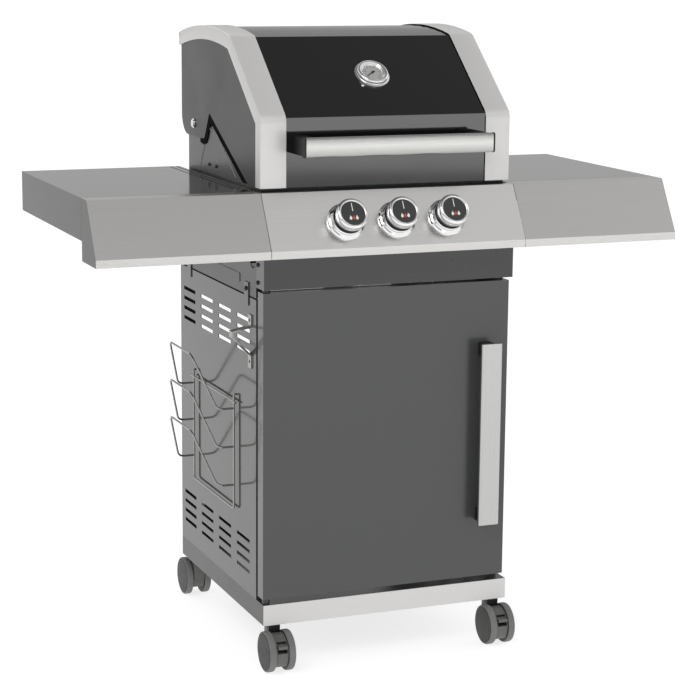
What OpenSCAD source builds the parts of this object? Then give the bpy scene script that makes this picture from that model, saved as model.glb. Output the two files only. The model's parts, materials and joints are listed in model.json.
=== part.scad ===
// Gas barbecue: a hinged lid over a three-burner firebox, on a cabinet with a door and casters.
// Millimetres, +Z up, floor at z = 0, front towards -Y. The origin is under the middle of the
// overall box. Inside the modules y is measured back from the door's front plane, and
// in_frame() moves it to the origin.

/* [Overall] */
// Width over both side tables
overall_w = 1120; // [1060:10:1240]
// Height of the side tables' top
table_z = 874.5; // [860:0.5:900]
// Door plane to the cabinet's back
cabinet_d = 489.5; // [489.5:0.5:510]

/* [Cabinet] */
// Width over the side panels
cabinet_w = 488; // [488:1:500]
// Thickness of the door
door_t = 28; // [22:1:30]
// Rows of vent slots in each group
vent_rows = 4; // [2:1:4]

/* [Lid] */
// Width over the lid's end trims
lid_w = 486; // [486:1:488]
// Width of each end trim
trim_w = 49; // [40:1:60]
// Rise of the lid's curved top over its chord
crown = 15.5; // [8:0.5:20]

/* [Knobs] */
// Distance between the knobs
knob_pitch = 98; // [92:1:104]
// Diameter of a knob
knob_d = 58; // [52:1:60]
// Height of a knob's face over the control panel
knob_h = 42; // [36:1:44]

/* [Casters] */
// Wheel diameter
wheel_d = 75; // [70:1:78]
// Distance from the swivel axis back to the axle
caster_trail = 25; // [20:1:28]

/* [Wire rack] */
// Width of the rack's frame
rack_w = 242; // [220:2:260]
// Number of tool loops
rack_loops = 3; // [2:1:3]

/* [Hidden] */
$fn = 48;

stainless = "#b9b8b4";
silver = "#d3d2cf";
dark_grey = "#5a5a59";
black = "#2b2b2b";
chrome = "#e2e2e2";
brass = "#c9a24a";
iron = "#303030";
white = "#f2efe8";

sheet = 1.2;            // folded stainless and door sheet
plate = 1.5;            // cabinet and firebox plate
running = 0.05;         // radial clearance of a running fit
gap = 0.3;              // clearance between bodies that slide past each other
through = 1;            // how far a cutter runs past a face

// Heights
base_z = 84;
base_h = 38.5;
shelf_z = base_z + base_h;
panel_top_z = table_z - 192.5;
valance_z = table_z - 171.5;
valance_top_z = table_z - 99.5;
door_z0 = shelf_z + 11.3;
door_z1 = valance_z - 5.2;
lip_z = table_z - 109.5;
slope_z = table_z - 95.5;
band_top_z = table_z - 8.5;
grate_ledge_z = table_z - 0.5;

// Depths behind the door plane
fascia_top_y = 11;
fascia_lip_y = -45;
seam_y = 46;
panel_front_y = 41.5;
table_back_y = cabinet_d - 3;
lid_front_y = 23.5;

half_cabinet = cabinet_w / 2;
half_table = overall_w / 2;
half_lid = lid_w / 2;
table_gap = 2.5;        // cabinet side to a table's inner edge
table_x = half_cabinet + table_gap;

// The lid pivots in the firebox's end plates
pivot_y = 409.5;
pivot_z = table_z + 90;
pivot_r = 4;
lid_end_x = half_lid - 2.5;          // outer face of the lid's end plates
firebox_x = half_lid - 6;            // outer face of the firebox's end plates
shell_x = firebox_x - plate;
pad_rise = 0.8;                      // height of the pad pressed out of each firebox end

// The knobs stand just below the middle of the sloping control panel
slope_dy = fascia_top_y - fascia_lip_y;
slope_dz = table_z - slope_z;
panel_tilt = atan2(slope_dz, slope_dy);
knob_drop = 5.5;        // centre of the knobs below the middle of the slope
knob_y = (fascia_top_y + fascia_lip_y) / 2 - knob_drop * cos(panel_tilt);
knob_z = (table_z + slope_z) / 2 - knob_drop * sin(panel_tilt);
knob_skirt_r = knob_d / 2 - 4;
stem_r = 4;
stem_flat = 3;
stem_top = knob_h - 17;
stem_bottom = -38;
valve_top = -22;
valve_bottom = -52;
valve_r = 12;
manifold_y = 3.9;
manifold_z = table_z - 87.3;
manifold_r = 8;
inlet_r = 4.5;

// The wheels
wheel_r = wheel_d / 2;
housing_half = 11;
wheel_gap = 1;
wheel_w = 14;
axle_r = 3;
stem_pin_r = 4;
stem_pin_z = 112;
caster_x = half_cabinet - 23;
caster_front_y = 18;
caster_rear_y = cabinet_d - 28;

// The box's front is the rim of the knobs and its back is the rear wheels
frame_front_y = knob_y - (knob_h - 1) * sin(panel_tilt) - (knob_d / 2 - 2) * cos(panel_tilt);
frame_back_y = caster_rear_y + caster_trail + wheel_r;
frame_y = -(frame_front_y + frame_back_y) / 2;

module in_frame() translate([0, frame_y, 0]) children();

// ---------------------------------------------------------------- helpers

function unit(v) = v / norm(v);
function left_of(v) = [-v.y, v.x];

// Offset of a path's corner i, to the left of the path, with mitred corners.
function corner_offset(path, i) =
    let (
        last = len(path) - 1,
        ahead = left_of(unit(path[min(i + 1, last)] - path[min(i, last - 1)])),
        behind = left_of(unit(path[max(i, 1)] - path[max(i - 1, 0)]))
    )
    (ahead + behind) / (1 + ahead * behind);

function moved_path(path, t) = [for (i = [0:len(path) - 1]) path[i] + t * corner_offset(path, i)];

function reversed(list) = [for (i = [len(list) - 1:-1:0]) list[i]];

// Outline of a sheet of thickness t folded along a path, on the path's left.
function folded(path, t) = concat(path, reversed(moved_path(path, t)));

// Points of a circle's arc; angles in degrees.
function arc(centre, r, a0, a1, steps) =
    [for (i = [0:steps]) let (a = a0 + (a1 - a0) * i / steps) centre + r * [cos(a), sin(a)]];

// Points of the shallow arc from p to q that rises by h on its left.
function bow(p, q, h, steps) =
    let (
        half = norm(q - p) / 2,
        r = (half * half + h * h) / (2 * h),
        centre = (p + q) / 2 - (r - h) * left_of(unit(q - p)),
        a0 = atan2(p.y - centre.y, p.x - centre.x),
        a1 = atan2(q.y - centre.y, q.x - centre.x)
    )
    arc(centre, r, a0, a1, steps);

function rounded(w, h, r) = concat(
    arc([w / 2 - r, h / 2 - r], r, 0, 90, 4),
    arc([-w / 2 + r, h / 2 - r], r, 90, 180, 4),
    arc([-w / 2 + r, -h / 2 + r], r, 180, 270, 4),
    arc([w / 2 - r, -h / 2 + r], r, 270, 360, 4)
);

// A (y, z) outline made solid from x0 to x1.
module across(x0, x1) translate([x0, 0, 0]) rotate([90, 0, 90]) linear_extrude(x1 - x0) children();

// An (x, z) outline made solid from y0 to y1.
module along(y0, y1) translate([0, y1, 0]) rotate([90, 0, 0]) linear_extrude(y1 - y0) children();

module box(from, to) translate(from) cube(to - from);

module rod_x(x0, x1, r) translate([x0, 0, 0]) rotate([0, 90, 0]) cylinder(h = x1 - x0, r = r);
module rod_y(y0, y1, r) translate([0, y0, 0]) rotate([-90, 0, 0]) cylinder(h = y1 - y0, r = r);

// A round bar between two points.
module rod(p, q, r) {
    d = q - p;
    turn = atan2(d.y, d.x);
    lean = atan2(norm([d.x, d.y]), d.z);
    translate(p) rotate([0, lean, turn]) cylinder(h = norm(d), r = r);
}

// A bent wire; each bend is a ball slightly fatter than the wire.
module wire(points, r) {
    for (i = [1:len(points) - 1]) rod(points[i - 1], points[i], r);
    for (i = [1:len(points) - 2]) translate(points[i]) sphere(r * 1.06);
}

module left_half() mirror([1, 0, 0]) children();
module both() {
    children();
    left_half() children();
}

// Local frame on the control panel's face at a knob, +Z out of the panel.
module on_panel(x) translate([x, knob_y, knob_z]) rotate([panel_tilt, 0, 0]) children();

// ---------------------------------------------------------------- bolts

// Button-head bolts on the right half: [position, head radius].
bolt_shank_r = 2.5;
bolt_shank = 1.2;
bolt_head = 2.6;
ear_y = [91, 430];
ear_t = 2;
side_bolts = [
    [[half_cabinet, 32, table_z - 129.5], 4.5],
    [[half_cabinet, 32, table_z - 161.5], 4.5],
    [[half_cabinet + ear_t, ear_y[0], panel_top_z + 12], 5],
    [[half_cabinet + ear_t, ear_y[1], panel_top_z + 12], 5],
    [[firebox_x + pad_rise, 282.5, table_z + 19.5], 3.5],
    [[firebox_x + pad_rise, 323.5, table_z + 19.5], 3.5]
];

module bolt(head_r) {
    rotate([0, 90, 0]) {
        difference() {
            cylinder(h = bolt_head, r1 = head_r, r2 = head_r * 0.72);
            translate([0, 0, bolt_head / 2]) cylinder(h = bolt_head, r = head_r * 0.4, $fn = 6);
        }
    }
    rod_x(-bolt_shank, 0, bolt_shank_r);
}

module bolt_holes() {
    for (b = side_bolts) translate(b[0]) rod_x(-bolt_shank, through, bolt_shank_r);
}

// The lid's pivot: pin, spacer, washer and head.
module pivot_bolt() {
    washer_x = lid_end_x + 0.4;
    head_x = washer_x + 1.6;
    head_h = 2;
    head_r = 7;
    translate([0, pivot_y, pivot_z]) {
        rod_x(shell_x, washer_x + 0.2, pivot_r);
        rod_x(firebox_x, lid_end_x - plate - gap, head_r);
        rod_x(washer_x, head_x, head_r + 2);
        difference() {
            rod_x(head_x, head_x + head_h, head_r);
            translate([head_x + head_h / 2, 0, 0]) rotate([0, 90, 0]) cylinder(h = head_h, r = 3, $fn = 6);
        }
    }
}

fascia_bolt = [half_table - 8, 14, lip_z];

module bolts() {
    color(chrome) in_frame() both() {
        for (b = side_bolts) translate(b[0]) bolt(b[1]);
        pivot_bolt();
        translate(fascia_bolt) rotate([0, 90, 0]) bolt(5);
    }
}

// ---------------------------------------------------------------- base and cabinet

flange_w = 15;
socket_r = 9;
socket_pad = [20, 14];
socket_top_z = stem_pin_z + 2;

module caster_spots() {
    for (y = [caster_front_y, caster_rear_y]) translate([caster_x, y, 0]) children();
}

module base_tray() {
    inner = half_cabinet - plate;
    color(dark_grey) in_frame() difference() {
        union() {
            difference() {
                box([-half_cabinet, sheet, base_z], [half_cabinet, cabinet_d, shelf_z]);
                box([-inner, sheet + plate, base_z - through], [inner, cabinet_d - plate, shelf_z - plate]);
            }
            difference() {
                box([-half_cabinet, sheet, base_z], [half_cabinet, cabinet_d, base_z + plate]);
                box([-inner + flange_w, sheet + flange_w, base_z - through],
                    [inner - flange_w, cabinet_d - flange_w, base_z + plate + through]);
            }
            both() caster_spots() {
                translate([0, 0, base_z]) cylinder(h = base_h - plate, r = socket_r);
                box([-socket_pad.x, -socket_pad.y, base_z], [socket_pad.x, socket_pad.y, base_z + plate]);
            }
        }
        both() caster_spots() translate([0, 0, base_z - through])
            cylinder(h = socket_top_z - base_z + through, r = stem_pin_r + running);
    }
}

module base_front_trim() {
    color(silver) in_frame() box([-half_cabinet, 0, base_z], [half_cabinet, sheet, shelf_z]);
}

vent_l = 72;
vent_h = 7;
vent_pitch_y = 106.4;
vent_pitch_z = 19.6;
vent_first_y = 113;
vent_columns = 4;

module vent_group(top_z) {
    for (column = [0:vent_columns - 1], row = [0:vent_rows - 1])
        translate([half_cabinet - plate - through, vent_first_y + column * vent_pitch_y - vent_l / 2,
                   top_z - row * vent_pitch_z - vent_h])
            cube([plate + 2 * through, vent_l, vent_h]);
}

module side_panel() {
    front_return = 20;
    back_return = 35;
    ear_half = 11;
    path = [
        [half_cabinet - front_return, panel_front_y],
        [half_cabinet, panel_front_y],
        [half_cabinet, cabinet_d],
        [half_cabinet - back_return, cabinet_d]
    ];
    difference() {
        union() {
            translate([0, 0, shelf_z]) linear_extrude(panel_top_z - shelf_z) polygon(folded(path, plate));
            // Ears that lap over the firebox's side
            for (y = ear_y)
                box([half_cabinet, y - ear_half, panel_top_z - 18],
                    [half_cabinet + ear_t, y + ear_half, panel_top_z + 24]);
        }
        vent_group(panel_top_z - 42);
        vent_group(shelf_z + 103.5);
        bolt_holes();
    }
}

module side_panel_left() color(dark_grey) in_frame() left_half() side_panel();
module side_panel_right() color(dark_grey) in_frame() side_panel();

module rear_panel() {
    inner = half_cabinet - plate;
    top_z = shelf_z + 64;
    front_y = cabinet_d - 2 * plate;
    color(dark_grey) in_frame() {
        box([-inner, front_y, shelf_z], [inner, front_y + plate, top_z]);
        box([-inner, front_y - 12.5, top_z - plate], [inner, front_y, top_z]);
    }
}

module valance() {
    back_y = panel_front_y - 0.5;
    face = folded([[back_y, valance_z], [0, valance_z], [0, valance_top_z], [8, valance_top_z]], -plate);
    color(dark_grey) in_frame() difference() {
        union() {
            across(-half_cabinet, half_cabinet) polygon(face);
            both() box([half_cabinet - plate, 0, valance_z], [half_cabinet, back_y, valance_top_z]);
        }
        bolt_holes();
        left_half() bolt_holes();
        translate([hinge_x, hinge_y, valance_z - through]) cylinder(h = 2 * plate + through, r = hinge_r);
    }
}

// ---------------------------------------------------------------- door

hinge_x = -half_cabinet + 9;
hinge_y = door_t / 2;
hinge_r = 4;
door_left = -half_cabinet - 1.4;
door_right = half_cabinet - 7.3;

// A pin with a collar at the door's foot, and another at its top.
module door_pivots() {
    pin_in_door = 12;
    collar_r = 7;
    color(chrome) in_frame() translate([hinge_x, hinge_y, 0]) {
        translate([0, 0, shelf_z]) cylinder(h = door_z0 + pin_in_door - shelf_z, r = hinge_r);
        translate([0, 0, shelf_z]) cylinder(h = door_z0 - shelf_z - gap, r = collar_r);
        translate([0, 0, door_z1 - pin_in_door])
            cylinder(h = valance_z + plate - door_z1 + pin_in_door, r = hinge_r);
        translate([0, 0, door_z1 + gap]) cylinder(h = valance_z - door_z1 - gap, r = collar_r);
    }
}

module door_catch() {
    color(black) in_frame()
        box([half_cabinet - 60, door_t + gap, valance_z - 22],
            [half_cabinet - 24, panel_front_y - 0.5, valance_z]);
}

module door_skin() {
    color(dark_grey) in_frame() difference() {
        box([door_left, 0, door_z0], [door_right, door_t, door_z1]);
        box([door_left + sheet, sheet, door_z0 + sheet],
            [door_right - sheet, door_t + through, door_z1 - sheet]);
        translate([hinge_x, hinge_y, door_z0 - through])
            cylinder(h = door_z1 - door_z0 + 2 * through, r = hinge_r + running);
    }
}

module door_liner() {
    rib_inset = 60;
    color(dark_grey) in_frame() {
        box([door_left + sheet, door_t - sheet, door_z0 + sheet],
            [door_right - sheet, door_t, door_z1 - sheet]);
        // Stiffening ribs behind the handle
        for (x = [door_right - 60, door_right - 30])
            box([x, sheet, door_z0 + rib_inset], [x + sheet, door_t - sheet, door_z1 - rib_inset]);
    }
}

door_bar_w = 41;
door_bar_x = half_cabinet - 54.5;
door_bar_z0 = shelf_z + 119.5;
door_bar_z1 = table_z - 288.5;
door_bar_y = -35;
door_bar_t = 10;

module door_handle_bar() {
    color(stainless) in_frame() translate([door_bar_x, door_bar_y + door_bar_t / 2, door_bar_z0])
        linear_extrude(door_bar_z1 - door_bar_z0) polygon(rounded(door_bar_w, door_bar_t, 3.5));
}

module door_handle_posts() {
    post = [13, 24];
    color(black) in_frame() for (z = [door_bar_z0 + 2, door_bar_z1 - 2 - post[1]])
        box([door_bar_x - post[0], door_bar_y + door_bar_t, z], [door_bar_x + post[0], 0, z + post[1]]);
}

// ---------------------------------------------------------------- firebox

// The end plate: wide below the tables, stepped in above them to pass inside the lid.
module firebox_end() {
    upper = concat(
        [[453.5, band_top_z - plate], [453.5, table_z + 85], [435, table_z + 115]],
        [[355, table_z + 136], [295, table_z + 136], [85, table_z + 31], [37, table_z + 14]],
        [[37, band_top_z - plate]]
    );
    pad = [[381, table_z + 10], [339, table_z + 75], [324, table_z + 95], [315, table_z + 83],
           [298, table_z + 93], [272, table_z + 77], [127, table_z + 10]];
    rail_z = tray_top_z - 3;
    rail_y = tray_y0 - 3;
    rail_w = 20;
    hose_hole_r = 17;
    difference() {
        union() {
            across(shell_x, firebox_x) polygon(upper);
            across(firebox_x, firebox_x + pad_rise) polygon(pad);
            box([half_cabinet - plate, panel_front_y, panel_top_z], [half_cabinet, cabinet_d, band_top_z]);
            box([shell_x, panel_front_y, band_top_z - plate], [half_cabinet, cabinet_d, band_top_z]);
            // Pressed-out stiffening pad
            box([half_cabinet, 130, table_z - 174.5], [half_cabinet + 1, 292, table_z - 158.5]);
            // Tab behind the valance's side
            box([half_cabinet - 2 * plate, 20, valance_z + 2],
                [half_cabinet - plate, panel_front_y + 20, valance_top_z]);
            // Rail that the drip tray runs on
            box([half_cabinet - rail_w, rail_y, rail_z], [half_cabinet - plate, cabinet_d, rail_z + plate]);
        }
        translate([0, 59, table_z - 122.5])
            rod_x(half_cabinet - 2 * plate - through, half_cabinet + through, hose_hole_r);
        translate([0, pivot_y, pivot_z]) rod_x(shell_x - through, firebox_x + through, pivot_r);
        bolt_holes();
    }
}

module firebox_end_left() color(dark_grey) in_frame() left_half() firebox_end();
module firebox_end_right() color(dark_grey) in_frame() firebox_end();

floor_z = table_z - 139.5;
wall_z = table_z - 84.5;
shell_front_y = 49;
shell_back_y = 425;
burner_z = table_z - 70.5;
burner_r = 13;

module firebox_shell() {
    ledge = 14;
    drain = [200, 135, 345];
    bowl = [
        [shell_front_y, grate_ledge_z], [shell_front_y, wall_z], [115, floor_z],
        [363, floor_z], [shell_back_y, wall_z], [shell_back_y, grate_ledge_z]
    ];
    path = concat(
        [[shell_front_y - ledge, table_z + 13.5], [shell_front_y - ledge, grate_ledge_z]], bowl,
        [[shell_back_y + ledge, grate_ledge_z], [shell_back_y + ledge, table_z + 30.5]]
    );
    color(iron) in_frame() difference() {
        union() {
            across(-shell_x, shell_x) polygon(folded(path, sheet));
            both() across(shell_x - sheet, shell_x) polygon(bowl);
        }
        box([-drain[0], drain[1], floor_z - through], [drain[0], drain[2], floor_z + 2 * sheet]);
        for (x = [-1:1]) translate([x * knob_pitch, 0, burner_z])
            rod_y(shell_front_y - through, shell_front_y + 3, burner_r + 0.5);
    }
}

grate_z = grate_ledge_z + sheet;
grate_y0 = 37;
grate_y1 = 437;
grate_h = 12;
grate_bar = 6;
grate_x1 = shell_x - 2;
grate_bars = 12;

// The right half of the grates; its left edge is 1 mm from the middle.
module cooking_grate() {
    x0 = 1;
    pitch = (grate_x1 - x0 - grate_bar) / grate_bars;
    for (i = [0:grate_bars])
        translate([x0 + i * pitch, grate_y0, grate_z]) cube([grate_bar, grate_y1 - grate_y0, grate_h]);
    for (y = [grate_y0, (grate_y0 + grate_y1 - grate_bar) / 2, grate_y1 - grate_bar])
        translate([x0, y, grate_z]) cube([grate_x1 - x0, grate_bar, grate_h - 2]);
}

module cooking_grates() color(iron) in_frame() both() cooking_grate();

module heat_tents() {
    half = 55;
    foot_z = table_z - 38;
    eaves_z = table_z - 34;
    ridge_z = table_z - 8;
    path = [[-half, foot_z], [-half, eaves_z], [0, ridge_z], [half, eaves_z], [half, foot_z]];
    color(stainless) in_frame() for (i = [-1:1])
        translate([i * burner_pitch, 0, 0])
            along(shell_front_y + sheet, shell_back_y - sheet) polygon(folded(path, -sheet));
}

burner_pitch = 150;
burner_bore = 11.8;
burner_back_y = 395;
burner_ports = 12;

// A burner with its mouth at the valve (x = mouth_x) and its tube at x = tube_x. A flat-sided
// neck joins the two.
module burner(mouth_x, tube_x) {
    mouth_y = 38;
    neck_y = 56;
    tube_y = 134;
    neck_half = burner_r + 1;
    end_t = 2;
    bend = [[mouth_x, neck_y + 12], [tube_x, tube_y - 12]];

    module neck(inset) {
        path = concat([[mouth_x, neck_y + inset]], bend, [[tube_x, tube_y - inset]]);
        half = neck_half - inset;
        translate([0, 0, -half]) linear_extrude(2 * half)
            polygon(concat(moved_path(path, half), reversed(moved_path(path, -half))));
    }

    translate([0, 0, burner_z]) difference() {
        union() {
            translate([mouth_x, 0, 0]) rod_y(mouth_y, neck_y + 1, burner_r);
            neck(0);
            translate([tube_x, 0, 0]) rod_y(tube_y - 1, burner_back_y, burner_r);
            translate([tube_x, 0, 0]) rod_y(burner_back_y - end_t, shell_back_y - sheet, 4);
        }
        translate([mouth_x, 0, 0]) rod_y(mouth_y - through, neck_y + 3, burner_bore);
        neck(sheet);
        translate([tube_x, 0, 0]) rod_y(tube_y - 3, burner_back_y - end_t, burner_bore);
        for (i = [0:burner_ports - 1], side = [-1, 1])
            translate([tube_x, 150 + i * 20, 0]) rotate([0, side * 60, 0])
                cylinder(h = burner_r + through, r = 1.5, $fn = 16);
    }
}

module burners() {
    color(stainless) in_frame() for (i = [-1:1]) burner(i * knob_pitch, i * burner_pitch);
}

module electrodes() {
    beside = 22;
    ceramic_end = 92;
    color(white) in_frame() for (i = [-1:1])
        translate([i * burner_pitch + (i < 0 ? -beside : beside), 0, burner_z + 14]) {
            rod_y(shell_front_y + sheet, ceramic_end, 4);
            rod_y(ceramic_end, ceramic_end + 20, 1.2);
        }
}

module gas_manifold() {
    end_x = knob_pitch + 40;
    nut_h = 12;
    tail_h = 26;
    foot_w = 14;
    foot_x = knob_pitch + 28;
    foot_y = -19;
    color(stainless) in_frame() translate([0, manifold_y, manifold_z]) {
        rod_x(-end_x, end_x, manifold_r);
        // Inlet at the left end: a nut and a hose tail
        rotate([0, -90, 0]) translate([0, 0, end_x]) {
            cylinder(h = nut_h, r = 11, $fn = 6);
            translate([0, 0, nut_h]) cylinder(h = tail_h, r = inlet_r);
        }
        // Feet that stand on the control panel's return
        for (x = [-foot_x, foot_x]) translate([x - foot_w / 2, foot_y, 0]) {
            box([0, 0, lip_z + sheet - manifold_z], [foot_w, 10, 2]);
            box([0, 0, -6], [foot_w, 13, 2]);
        }
    }
}

module gas_valves() {
    jet_r = 3.5;
    jet_y = [22, 41];
    color(brass) in_frame() for (i = [-1:1]) difference() {
        union() {
            on_panel(i * knob_pitch) translate([0, 0, valve_bottom])
                cylinder(h = valve_top - valve_bottom, r = valve_r);
            translate([i * knob_pitch, 0, burner_z]) rod_y(jet_y[0], jet_y[1], jet_r);
        }
        on_panel(i * knob_pitch) translate([0, 0, stem_bottom - 2]) cylinder(h = 20, r = stem_r + running);
        translate([0, manifold_y, manifold_z])
            rod_x((i - 0.5) * knob_pitch, (i + 0.5) * knob_pitch, manifold_r);
    }
}

module warming_rack() {
    z = table_z + 115.5;
    y0 = 300;
    y1 = 380;
    rail_r = 2.5;
    wires = 22;
    span = 2 * (shell_x - 20);
    color(chrome) in_frame() {
        for (y = [y0, y1]) translate([0, y, z]) rod_x(-shell_x, shell_x, rail_r);
        for (i = [0:wires])
            translate([-span / 2 + i * span / wires, 0, z + rail_r]) rod_y(y0 - 2, y1 + 2, 1.5);
    }
}

// ---------------------------------------------------------------- control panel and tables

module control_panel() {
    half = half_cabinet + 1.5;
    stem_hole_r = 7;
    path = [[32, table_z], [fascia_top_y, table_z], [fascia_lip_y, slope_z], [fascia_lip_y, lip_z],
            [-1.5, lip_z]];
    color(stainless) in_frame() difference() {
        across(-half, half) polygon(folded(path, sheet));
        for (i = [-1:1]) on_panel(i * knob_pitch) translate([0, 0, -4]) cylinder(h = 8, r = stem_hole_r);
    }
}

module knob_bezels() {
    hole_r = knob_skirt_r + 1.4;
    profile = [[hole_r, 0], [35, 0], [35, 2.5], [33, 5], [30.5, 6.5], [29, 8], [29, 12], [28, 14],
               [hole_r, 14]];
    color(chrome) in_frame() for (i = [-1:1]) on_panel(i * knob_pitch) rotate_extrude() polygon(profile);
}

// Two rows of drain slots run along the table's inner edge.
drain_slots = 24;
drain_pitch = 16;
drain_slot = [4, 11];

module table() {
    apron = 74.5;
    front_apron = 18;
    color(stainless) in_frame() difference() {
        union() {
            box([table_x, seam_y, table_z - sheet], [half_table, table_back_y, table_z]);
            box([half_table - sheet, seam_y, table_z - apron], [half_table, table_back_y, table_z]);
            box([table_x, table_back_y - sheet, table_z - apron], [half_table, table_back_y, table_z]);
            box([table_x, seam_y, table_z - front_apron], [half_table, seam_y + sheet, table_z]);
        }
        for (i = [0:drain_slots - 1], row = [0, 1])
            translate([table_x + 7 + row * 13, seam_y + 50 + i * drain_pitch, table_z - 2 * sheet])
                cube([drain_slot.x, drain_slot.y, 3 * sheet]);
    }
}

module fascia() {
    back_y = seam_y - 0.5;
    front = [[back_y, table_z], [fascia_top_y, table_z], [fascia_lip_y, slope_z], [fascia_lip_y, lip_z]];
    path = concat(front, [[fascia_lip_y + 18, lip_z]]);
    cap = concat(front, [[back_y, lip_z]]);
    color(stainless) in_frame() difference() {
        union() {
            across(table_x, half_table) polygon(folded(path, sheet));
            across(half_table - sheet, half_table) polygon(cap);
            box([half_table - 20, fascia_lip_y, lip_z], [half_table, back_y, lip_z + sheet]);
        }
        translate(fascia_bolt - [0, 0, through]) cylinder(h = 4, r = bolt_shank_r);
    }
}

module table_left() left_half() table();
module table_right() table();
module fascia_left() left_half() fascia();
module fascia_right() fascia();

module table_brackets() {
    t = 3;
    root_z = table_z - 60;
    tip_x = half_cabinet + 190;
    arm = [[half_cabinet, root_z], [half_cabinet, band_top_z], [table_x, band_top_z],
           [table_x, table_z - sheet], [tip_x, table_z - sheet], [tip_x, table_z - 18]];
    color(dark_grey) in_frame() both() for (y = [115, 385]) {
        along(y, y + t) polygon(arm);
        box([half_cabinet, y + t, root_z], [half_cabinet + t, y + 22, band_top_z]);
    }
}

// ---------------------------------------------------------------- things on the left side

wire_r = 2;

module wire_rack() {
    x = -half_cabinet - 6;
    mid = 269.5;
    y0 = mid - rack_w / 2;
    y1 = mid + rack_w / 2;
    bottom = shelf_z + 145.5;
    top = shelf_z + 364;
    cross_z = top - 14;
    first_loop = bottom + 46;
    loop_pitch = 73;
    reach = 32;
    front_x = x - 2 * reach - 1;
    front_half = 65;
    front_rise = 96;
    color(chrome) in_frame() {
        wire([[-half_cabinet, y0, top], [x, y0, top], [x, y0, bottom], [x, y1, bottom], [x, y1, top],
              [-half_cabinet, y1, top]], wire_r);
        rod([x, y0 - 10, cross_z], [x, y1 + 14, cross_z], wire_r);
        for (i = [0:rack_loops - 1]) {
            z = first_loop + i * loop_pitch;
            wire([[x, y0, z], [x - reach, y0, z], [front_x, mid - front_half, z + front_rise],
                  [front_x, mid + front_half, z + front_rise], [x - reach, y1, z], [x, y1, z]], wire_r);
        }
    }
}

module bottle_opener() {
    x = -half_cabinet;
    z = panel_top_z - 81;
    mid_y = 70.5;
    strip_half = 8.5;
    slot_half = 5;
    nose_x = x - 36;
    strip = [[x, z + 48], [x, z + 26], [nose_x, z + 18], [nose_x, z + 10], [x, z - 26], [x, z - 50]];
    color(chrome) in_frame() difference() {
        along(mid_y - strip_half, mid_y + strip_half) polygon(folded(strip, -2.5));
        box([nose_x + 7, mid_y - slot_half, z - 16], [x - 8, mid_y + slot_half, z + 8]);
        for (dz = [38, -38]) translate([0, mid_y, z + dz]) rod_x(x - 4, x + through, 3);
    }
}

// ---------------------------------------------------------------- lid

lid_z = table_z + 6.5;
lower_kink = [lid_front_y, table_z + 131];
upper_kink = [190.5, table_z + 266];
lid_back = [494, table_z + 260.5];
trim_t = 3;
lid_rear_z = table_z + 131.5;
crown_points = bow(upper_kink, lid_back, crown, 10);
lid_outline = concat([[lid_front_y, lid_z], lower_kink], crown_points);
slope_tilt = atan2(upper_kink.y - lower_kink.y, upper_kink.x - lower_kink.x);

// Local frame on the lid panel's sloping face, +Z out of the lid.
gauge_up = 109.5;
gauge_x = 3.5;
gauge_at = lower_kink + gauge_up * unit(upper_kink - lower_kink)
    + trim_t * -left_of(unit(upper_kink - lower_kink));
module on_slope() translate([gauge_x, gauge_at.x, gauge_at.y]) rotate([slope_tilt, 0, 0]) children();

module lid_panel() {
    path = moved_path(concat(lid_outline, [[lid_back.x, lid_rear_z]]), -trim_t);
    color(black) in_frame() difference() {
        across(-lid_end_x + plate, lid_end_x - plate) polygon(folded(path, -sheet));
        on_slope() translate([0, 0, -5]) cylinder(h = 10, r = probe_r);
    }
}

// The lid's end plate, with a lobe round the pivot and a peaked notch in front of it.
module lid_end() {
    inset = moved_path(lid_outline, -trim_t);
    back_y = lid_back.x - 7;
    lobe_z = pivot_z + 15.5;
    lobe_r = 40;
    lobe_foot_z = lobe_z - lobe_r;
    notch_peak = [314.5, lobe_z + 6];
    notch_front_y = 97;
    top = [for (p = inset) if (p.x < back_y) p];
    outline = concat(
        top,
        [[back_y, lid_back.y - trim_t]],
        arc([back_y - lobe_r, lobe_z], lobe_r, 0, -90, 8),
        [[355, lobe_foot_z], [345, lobe_foot_z + 3]],
        arc(notch_peak, 4, 30, 120, 4),
        [[notch_front_y, lid_z]]
    );
    difference() {
        across(lid_end_x - plate, lid_end_x) polygon(outline);
        translate([0, pivot_y, pivot_z]) rod_x(lid_end_x - plate - through, lid_end_x + through,
                                               pivot_r + running);
    }
}

module lid_end_left() color(dark_grey) in_frame() left_half() lid_end();
module lid_end_right() color(dark_grey) in_frame() lid_end();

module lid_trim() {
    flange = 26;
    back_flange = 25;
    band = concat(lid_outline, [[lid_back.x, lid_back.y - back_flange]]);
    across(half_lid - trim_w, half_lid) polygon(folded(band, -trim_t));
    across(lid_end_x, half_lid) polygon(folded(lid_outline, -flange));
}

module lid_trim_left() color(silver) in_frame() left_half() lid_trim();
module lid_trim_right() color(silver) in_frame() lid_trim();

lid_bar_z = table_z + 82.5;
lid_bar_y = -39.5;
lid_bar_t = 12.5;
lid_bar_h = 36;
lid_bar_half = 183;

module lid_handle_bar() {
    color(stainless) in_frame() translate([0, lid_bar_y + lid_bar_t / 2, lid_bar_z])
        across(-lid_bar_half, lid_bar_half) polygon(rounded(lid_bar_t, lid_bar_h, 4));
}

module lid_handle_posts() {
    post_w = 23;
    post_half = 16;
    post_x = lid_bar_half - 2;
    color(black) in_frame() both()
        box([post_x - post_w, lid_bar_y + lid_bar_t, lid_bar_z - post_half],
            [post_x, lid_front_y + trim_t, lid_bar_z + post_half]);
}

probe_r = 3;
probe_l = 60;
nut_t = 6;
dial_r = 18.5;
dial_z = 4;
dial_t = 1;
needle_rest = 125;      // the needle points down to the left when the lid is cold

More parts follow.
